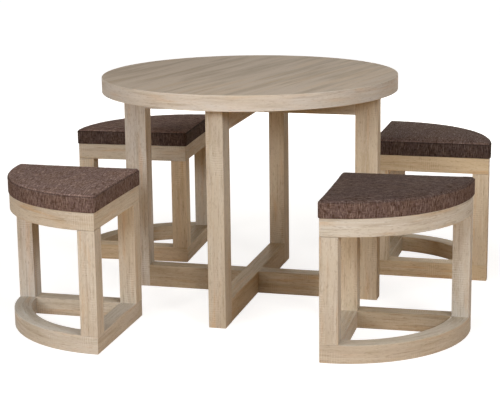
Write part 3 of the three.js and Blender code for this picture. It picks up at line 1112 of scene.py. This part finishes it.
    def shell(self) -> bpy.types.Object:
        """Sews the cover together a little small, ready to swell.

        Returns:
            The closed cover, with its threads, seam distance and held points as attributes.
        """
        rows = self.profile()
        count = len(self.bases)
        points: list[Triple] = []
        seam: list[float] = []
        for z, out, from_seam in rows:
            points += [(x, y, z) for x, y in self.ring(out - self.tightness, self.draw_in)]
            seam += [from_seam] * count
        faces: list[Face] = []
        threads: list[Triple] = []
        for row, (z0, z1) in enumerate(zip([r[2] for r in rows], [r[2] for r in rows[1:]])):
            low, high = row * count, (row + 1) * count
            for step in range(count):
                after = (step + 1) % count
                face = (low + step, low + after, high + after, high + step)
                faces.append(face)
                if z0 >= -1e-9:
                    threads += [(*points[corner][:2], 1.0) for corner in face]
                else:
                    s0, s1 = self.runs[step], self.runs[step + 1]
                    threads += [(s0, z0, 0.0), (s1, z0, 0.0), (s1, z1, 0.0), (s0, z1, 0.0)]
        for top in (True, False):
            first = (len(rows) - 1) * count if top else 0
            ring = np.array([p[:2] for p in points[first:first + count]])
            inner, fill = self.panel(ring, self.spacing if top else 3 * self.spacing)
            begun = len(points)
            z, last = (rows[-1][0], rows[-1][2]) if top else (0.0, rows[0][2])
            for x, y in inner:
                gap = np.linalg.norm(ring - (x, y), axis=1).min()
                rise = self.crown * (1 - math.exp(-gap / self.crown_reach)) if top else 0.0
                points.append((x, y, z + rise))
                seam.append(last + gap if top else last - gap)
            for face in fill:
                placed = tuple(
                    first + corner if corner < count else begun + corner - count
                    for corner in face
                )
                faces.append(placed if top else placed[::-1])
                threads += [(*points[corner][:2], float(top)) for corner in faces[-1]]
        made = new_mesh_object("cushion_cover", np.array(points), faces)
        for name, kind, domain, prop, values in (
            (THREADS, "FLOAT_VECTOR", "CORNER", "vector", threads),
            ("from_seam", "FLOAT", "POINT", "value", seam),
        ):
            laid = made.data.attributes.new(name, kind, domain)
            laid.data.foreach_set(prop, np.array(values, np.float32).ravel())
        # The hem's curve stays put, all but its uppermost row
        held = made.vertex_groups.new(name="held")
        bottom = [n for n, p in enumerate(points) if p[2] < self.hem_radius * 0.99]
        held.add(bottom, 1.0, "REPLACE")
        return made

    def swell(self, shell: bpy.types.Object) -> None:
        """Blows the cover up over its foam, and eases each point's move to the swell limit.

        Args:
            shell: the closed cover, which is left swollen.
        """
        rest = np.array([v.co for v in shell.data.vertices])
        outward = np.array([n.vector for n in shell.data.vertex_normals])
        cloth = shell.modifiers.new("swell", "CLOTH")
        how = cloth.settings
        how.quality = self.swell_quality
        how.mass = self.cloth_mass
        how.tension_stiffness = how.compression_stiffness = self.stretch
        how.shear_stiffness = self.shear
        how.bending_stiffness = self.bending
        how.use_pressure = True
        how.uniform_pressure_force = self.pressure
        how.vertex_group_mass = "held"
        how.effector_weights.gravity = 0.0
        cloth.collision_settings.use_self_collision = False
        cloth.point_cache.frame_start = 1
        cloth.point_cache.frame_end = self.swell_frames
        for frame in range(1, self.swell_frames + 1):
            bpy.context.scene.frame_set(frame)
        seen = shell.evaluated_get(bpy.context.evaluated_depsgraph_get())
        moved = np.array([v.co for v in seen.data.vertices]) - rest
        # The foam holds the cover out, so no point of it sinks
        moved -= outward * np.minimum(0.0, (moved * outward).sum(1))[:, None]
        length = np.maximum(np.linalg.norm(moved, axis=1), 1e-9)
        share = self.swell_limit * (1.0 - np.exp(-length / self.swell_limit)) / length
        shell.modifiers.remove(cloth)
        bpy.context.scene.frame_set(1)
        LOG.info("cover swelled up to %.1f mm", length.max() / MM)
        shell.data.vertices.foreach_set("co", (rest + moved * share[:, None]).ravel())
        shell.data.update()

    @staticmethod
    def applied(thing: bpy.types.Object, modifier: bpy.types.Modifier) -> bpy.types.Mesh:
        """Takes a modifier off and keeps what it makes.

        Args:
            thing: the object that has the modifier.
            modifier: the modifier.

        Returns:
            The mesh as the modifier leaves it.
        """
        seen = thing.evaluated_get(bpy.context.evaluated_depsgraph_get())
        mesh = bpy.data.meshes.new_from_object(seen)
        thing.modifiers.remove(modifier)
        return mesh

    def smooth_copy(self, shell: bpy.types.Object) -> bpy.types.Mesh:
        """Subdivides the cover once more.

        Args:
            shell: the cover, which is left as it is.

        Returns:
            The finer cover, as a mesh of its own.
        """
        finer = shell.modifiers.new("finer", "SUBSURF")
        finer.levels = finer.render_levels = 1
        return self.applied(shell, finer)

    def sew(self, mesh: bpy.types.Mesh, draws: np.random.Generator) -> None:
        """Sinks the seam, lets it wander a little and puckers the cloth beside it.

        Args:
            mesh: the swollen cover.
            draws: the seeded draws that set this cushion's own puckers.
        """
        count = len(mesh.vertices)
        place, normal, gap = np.zeros(count * 3), np.zeros(count * 3), np.zeros(count)
        mesh.vertices.foreach_get("co", place)
        mesh.vertex_normals.foreach_get("vector", normal)
        mesh.attributes["from_seam"].data.foreach_get("value", gap)
        place, normal = place.reshape(-1, 3), normal.reshape(-1, 3)
        middle = place[:, :2].mean(axis=0)
        turn = np.arctan2(*(place[:, :2] - middle).T[::-1])

        def waves(parts: tuple[tuple[int, float], ...]) -> np.ndarray:
            """Adds waves that run round the pad, each at its own turn."""
            return sum(
                size * np.sin(number * turn + draws.uniform(0, 2 * math.pi))
                for number, size in parts
            )

        gap = gap + waves(self.wander_waves) * self.wander
        pucker = waves(self.pucker_waves) * np.exp(-((gap / self.pucker_reach) ** 2))
        groove = np.exp(-((gap / self.groove_width) ** 2))
        roll = np.exp(-(((np.abs(gap) - self.roll_place) / self.roll_width) ** 2))
        out = -self.groove_depth * groove + self.roll_height * roll + self.pucker * pucker
        dents = np.zeros(count)
        for _ in range(self.dents):
            spot = draws.uniform(*self.dent_place, 2)
            reach = draws.uniform(*self.dent_reach_mm) * MM
            deep = draws.uniform(-self.dent_depth_mm, self.dent_depth_mm) * MM
            dents += deep * np.exp(-(((place[:, :2] - spot) ** 2).sum(1) / reach ** 2))
        out += dents * np.clip(gap / self.dent_edge, 0.0, 1.0)
        out[place[:, 2] < self.hem_radius] = 0.0
        place += normal * out[:, None]
        mesh.vertices.foreach_set("co", place.ravel())
        mesh.update()

    def pocket(self, cushion: bpy.types.Object) -> None:
        """Cuts the hollow that the seat board sits in out of the underside.

        Args:
            cushion: the cushion, still in the stool's own frame.
        """
        ring = self.ring(self.corner_radius - self.overhang + self.board_gap)
        count = len(ring)
        points = [(x, y, z) for z in (-self.cutter_drop, self.board_height) for x, y in ring]
        faces = [
            (step, (step + 1) % count, count + (step + 1) % count, count + step)
            for step in range(count)
        ]
        faces += [tuple(reversed(range(count))), tuple(range(count, 2 * count))]
        cutter = new_mesh_object("board_hollow", np.array(points), faces)
        cut = cushion.modifiers.new("hollow", "BOOLEAN")
        cut.operation, cut.solver, cut.object = "DIFFERENCE", "EXACT", cutter
        cushion.data = self.applied(cushion, cut)
        bpy.data.objects.remove(cutter)

    def make(self, stools: tuple[Stool, ...], shop: Workshop) -> None:
        """Swells one cover and finishes a cushion of it for each stool.

        Args:
            stools: the stools that get a cushion.
            shop: the finishes and the seeded draws.
        """
        shell = self.shell()
        self.swell(shell)
        for stool in stools:
            cushion = bpy.data.objects.new(
                f"{stool.name}_sewn_cushion", self.smooth_copy(shell)
            )
            bpy.context.scene.collection.objects.link(cushion)
            self.sew(cushion.data, shop.draws)
            self.pocket(cushion)
            cushion.data.materials.clear()
            cushion.data.materials.append(
                shop.cloth.material(cushion.name, stool.top_painted_light, stool.side_painted_light)
            )
            cushion.data.transform(stool.placing(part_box(stool.cushion_node)[0].z))
            cushion.data.shade_smooth()
            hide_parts(stool.cushion_node)
            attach(cushion, stool.name)
            LOG.info("made %s", cushion.name)
        bpy.data.objects.remove(shell)


class LampColour(Enum):
    """The lamps' light: plain from the front, a little warmer where it fills the shadows."""

    PLAIN = (1.0, 1.0, 1.0)
    WARM = (1.0, 0.95, 0.85)


@dataclass
class SoftBox:
    """A large soft lamp on a stand, aimed at the middle of the set."""

    name: str
    place: Triple
    width: float
    height: float
    power: float
    colour: LampColour = LampColour.PLAIN
    aim: Triple = (0.0, 0.0, 0.4)

    def build(self) -> None:
        """Puts the lamp in the scene."""
        lamp = bpy.data.lights.new(self.name, "AREA")
        lamp.shape = "RECTANGLE"
        lamp.size, lamp.size_y = self.width, self.height
        lamp.energy = self.power
        lamp.color = self.colour.value
        made = bpy.data.objects.new(self.name, lamp)
        made.location = self.place
        way = Vector(self.aim) - Vector(self.place)
        made.rotation_euler = way.to_track_quat("-Z", "Y").to_euler()
        bpy.context.scene.collection.objects.link(made)


@dataclass
class Studio:
    """The pale floor, the plain soft light and the camera at the photograph's angle."""

    camera_place: Triple = (1.2348, -4.6578, 1.4112)
    camera_yaw: float = -0.25997
    camera_dip: float = 0.21177
    camera_roll: float = -0.01202
    sensor: float = 36.0
    lens: float = 104.108
    shift: float = -0.0498
    sight: float = 200.0
    floor_half: float = 40.0
    floor_drop: float = 0.3 * MM
    floor_colour: str = "#E2BA84"
    # What the floor shows of itself beneath the set, rising to plain white out of its reach
    floor_glow: float = 0.80
    floor_plain: tuple[float, float] = (1.0, 2.4)
    floor_shade: str = "#B9B9B9"
    fill: str = "#FFCE90"
    fill_strength: float = 0.06
    lamps: tuple[SoftBox, ...] = (
        SoftBox("key_softbox", (3.0, -3.0, 2.2), 1.2, 1.2, 77.0),
        SoftBox("front_softbox", (-0.6, -4.8, 2.4), 1.6, 1.6, 45.0),
        SoftBox("left_softbox", (-1.8, -3.4, 1.4), 1.0, 1.0, 40.0),
        SoftBox("top_softbox", (0.0, -1.6, 3.8), 2.4, 2.4, 43.0, LampColour.WARM),
        SoftBox("back_softbox", (0.0, 4.6, 0.9), 3.0, 1.0, 90.0, LampColour.WARM, (0.0, 0.0, 0.5)),
    )

    def aim_camera(self) -> None:
        """Stands the camera where the photograph was taken from."""
        lens = bpy.data.cameras.new("camera")
        lens.sensor_fit = "HORIZONTAL"
        lens.sensor_width = self.sensor
        lens.lens = self.lens
        lens.shift_y = self.shift
        lens.clip_end = self.sight
        camera = bpy.data.objects.new("camera", lens)
        camera.matrix_world = (
            Matrix.Translation(self.camera_place)
            @ Matrix.Rotation(-self.camera_yaw, 4, "Z")
            @ Matrix.Rotation(math.pi / 2 - self.camera_dip, 4, "X")
            @ Matrix.Rotation(self.camera_roll, 4, "Z")
        )
        bpy.context.scene.collection.objects.link(camera)
        bpy.context.scene.camera = camera

    @staticmethod
    def shown(tree: Tree, lighting: Socket, showing: Socket) -> Socket:
        """Picks a shader for camera, gloss and clear rays, and another for all the rest.

        Args:
            tree: the node tree.
            lighting: what lights the set.
            showing: what is seen directly.

        Returns:
            The two in one.
        """
        path = add_node(tree, "ShaderNodeLightPath").node.outputs
        seen = calc(tree, "MAXIMUM", path["Is Camera Ray"], path["Is Glossy Ray"])
        seen = calc(tree, "MAXIMUM", seen, path["Is Transmission Ray"])
        return add_node(tree, "ShaderNodeMixShader", {0: seen, 1: lighting, 2: showing})

    def lay_floor(self) -> None:
        """Lays a pale floor that reads white, keeps the set's shadow and is clear from below."""
        half = self.floor_half
        corners = np.array([(-half, -half), (half, -half), (half, half), (-half, half)])
        points = np.column_stack([corners, np.full(4, -self.floor_drop)])
        floor = new_mesh_object("studio_floor", points, [(0, 1, 2, 3)])
        made = bpy.data.materials.new("pale_studio_floor")
        made.use_nodes = True
        tree = made.node_tree
        tree.nodes.clear()
        plain = add_node(tree, "ShaderNodeBsdfDiffuse", {"Color": linear(self.floor_colour)})
        shade = add_node(tree, "ShaderNodeBsdfDiffuse", {"Color": linear(self.floor_shade)})
        here = add_node(tree, "ShaderNodeNewGeometry").node.outputs
        reach = vector_calc(tree, "LENGTH", here["Position"], out="Value")
        strength = fade(tree, reach, *self.floor_plain, self.floor_glow, 1.0)
        glow = add_node(tree, "ShaderNodeEmission", {"Strength": strength})
        bright = add_node(tree, "ShaderNodeAddShader", {0: shade, 1: glow})
        above = self.shown(tree, plain, bright)
        clear = add_node(tree, "ShaderNodeBsdfTransparent")
        whole = add_node(tree, "ShaderNodeMixShader", {0: here["Backfacing"], 1: above, 2: clear})
        feed(tree, tree.nodes.new("ShaderNodeOutputMaterial"), {"Surface": whole})
        floor.data.materials.append(made)

    def light_world(self) -> None:
        """Fills the room with plain light and shows it white."""
        world = bpy.data.worlds.new("studio")
        bpy.context.scene.world = world
        world.use_nodes = True
        tree = world.node_tree
        tree.nodes.clear()
        fill, white = (
            add_node(tree, "ShaderNodeBackground", {"Color": colour, "Strength": strength})
            for colour, strength in (
                (linear(self.fill), self.fill_strength), (linear("#FFFFFF"), 1.0),
            )
        )
        end = tree.nodes.new("ShaderNodeOutputWorld")
        feed(tree, end, {"Surface": self.shown(tree, fill, white)})

    def build(self) -> None:
        """Sets up the whole studio."""
        self.aim_camera()
        self.lay_floor()
        self.light_world()
        for lamp in self.lamps:
            lamp.build()
        bpy.context.scene.view_settings.view_transform = "Standard"
        LOG.info("studio ready with %d lamps", len(self.lamps))


def main() -> None:
    """Builds the studio, then the table, then the stools and their cushions."""
    logging.basicConfig(level=logging.INFO, format="%(name)s: %(message)s")
    Studio().build()
    shop = Workshop()
    Table().dress(shop)
    for stool in STOOLS:
        stool.dress(shop)
    SewnCushion().make(STOOLS, shop)


if __name__ == "__main__":
    main()
